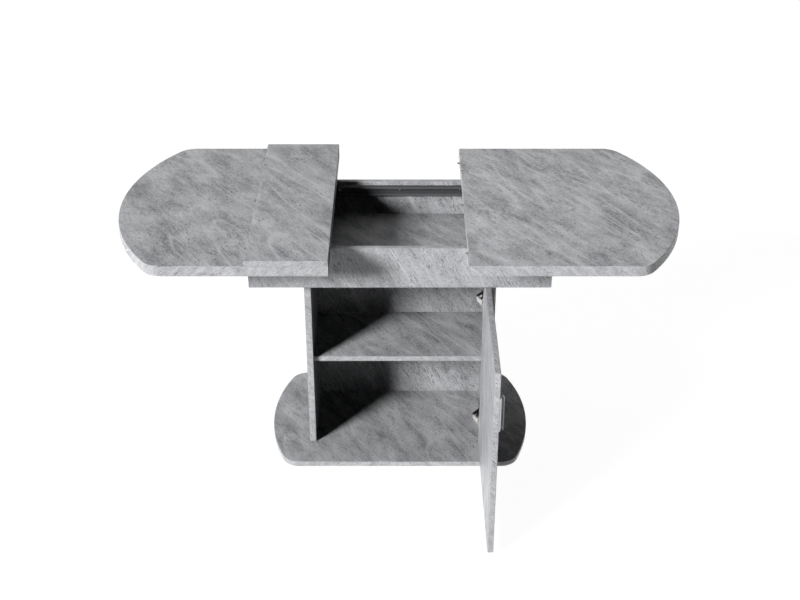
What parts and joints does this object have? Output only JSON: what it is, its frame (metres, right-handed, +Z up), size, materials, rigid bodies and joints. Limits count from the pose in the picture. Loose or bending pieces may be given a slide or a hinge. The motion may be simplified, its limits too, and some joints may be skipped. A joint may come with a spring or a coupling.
{
  "type": "extending kitchen table with storage cabinet",
  "caption": "Stone-look extending table: bowed top halves slide apart on a tray for a loose leaf, above a shelved cabinet with an inset door on a bowed base plate.",
  "frame": {"origin": "on the floor under the middle of the base plate, at the underside of the middle glide", "axes": "+X along the table to the right, +Z up, the cabinet's open front faces -Y"},
  "size_m": [1.57, 1.019, 0.768],
  "materials": {
    "stone_laminate": "satin stone-look laminate on chipboard",
    "hardboard": "painted hardboard",
    "beech": "raw beech",
    "black_steel": "dark powder coat",
    "zinc_steel": "zinc plated",
    "nickel_plate": "nickel plated",
    "satin_aluminium": "satin anodised",
    "grey_plastic": "moulded"
  },
  "bodies": {
    "carcass": {"base_plate": "stone_laminate", "floor_glides": "grey_plastic", "base_screws": "zinc_steel", "left_side_panel": "stone_laminate", "right_side_panel": "stone_laminate", "back_panel": "hardboard", "back_panel_nails": "zinc_steel", "shelf": "stone_laminate", "shelf_pins": "zinc_steel", "tray_floor": "stone_laminate", "front_apron": "stone_laminate", "back_apron": "stone_laminate", "left_tray_end": "stone_laminate", "right_tray_end": "stone_laminate", "tray_screws": "zinc_steel", "end_screws": "zinc_steel", "tray_dowels": "beech", "front_rail": "black_steel", "back_rail": "black_steel", "rail_screws": "zinc_steel", "hinge_plates": "nickel_plate", "hinge_plate_screws": "zinc_steel", "hinge_arms": "nickel_plate"},
    "left_top": {"left_top": "stone_laminate", "left_sockets": "grey_plastic", "left_front_slide": "zinc_steel", "left_back_slide": "zinc_steel", "left_slide_brackets": "zinc_steel", "left_bracket_rivets": "zinc_steel", "left_bracket_screws": "zinc_steel"},
    "right_top": {"right_top": "stone_laminate", "right_pins": "zinc_steel", "right_front_slide": "zinc_steel", "right_back_slide": "zinc_steel", "right_slide_brackets": "zinc_steel", "right_bracket_rivets": "zinc_steel", "right_bracket_screws": "zinc_steel"},
    "leaf": {"leaf": "stone_laminate", "leaf_pins": "zinc_steel", "leaf_sockets": "grey_plastic"},
    "door": {"door": "stone_laminate", "hinge_cups": "nickel_plate", "hinge_pins": "zinc_steel", "hinge_cup_screws": "zinc_steel", "handle": "satin_aluminium", "handle_screws": "zinc_steel"},
    "hinge_links": {"hinge_links": "nickel_plate"},
    "left_cages": {"left_ball_cages": "zinc_steel"},
    "right_cages": {"right_ball_cages": "zinc_steel"}
  },
  "joints": [
    {"name": "left_top_slide", "type": "slide", "parent": "carcass", "child": "left_top", "axis": [1, 0, 0], "range_m": [0, 0.1863]},
    {"name": "right_top_slide", "type": "slide", "parent": "carcass", "child": "right_top", "axis": [-1, 0, 0], "range_m": [0, 0.1807]},
    {"name": "leaf_lift", "type": "slide", "parent": "left_top", "child": "leaf", "axis": [0, 0, 1], "range_m": [0, 0.3]},
    {"name": "door_swing", "type": "hinge", "parent": "carcass", "child": "door", "pos_m": [0.25375, -0.14075, 0.3095], "axis": [0, 0, 1], "range_deg": [-90, 5]},
    {"name": "hinge_link_turn", "type": "hinge", "parent": "door", "child": "hinge_links", "pos_m": [0.2305, -0.152, 0.3095], "axis": [0, 0, 1], "range_deg": [-12, 184]},
    {"name": "left_cage_slide", "type": "slide", "parent": "carcass", "child": "left_cages", "axis": [1, 0, 0], "range_m": [0, 0.0935]},
    {"name": "right_cage_slide", "type": "slide", "parent": "carcass", "child": "right_cages", "axis": [-1, 0, 0], "range_m": [0, 0.0905]}
  ],
  "couplings": [
    {"joint": "hinge_link_turn", "follows": "door_swing", "ratio": -2.0283},
    {"joint": "left_cage_slide", "follows": "left_top_slide", "ratio": 0.5},
    {"joint": "right_cage_slide", "follows": "right_top_slide", "ratio": 0.5}
  ]
}
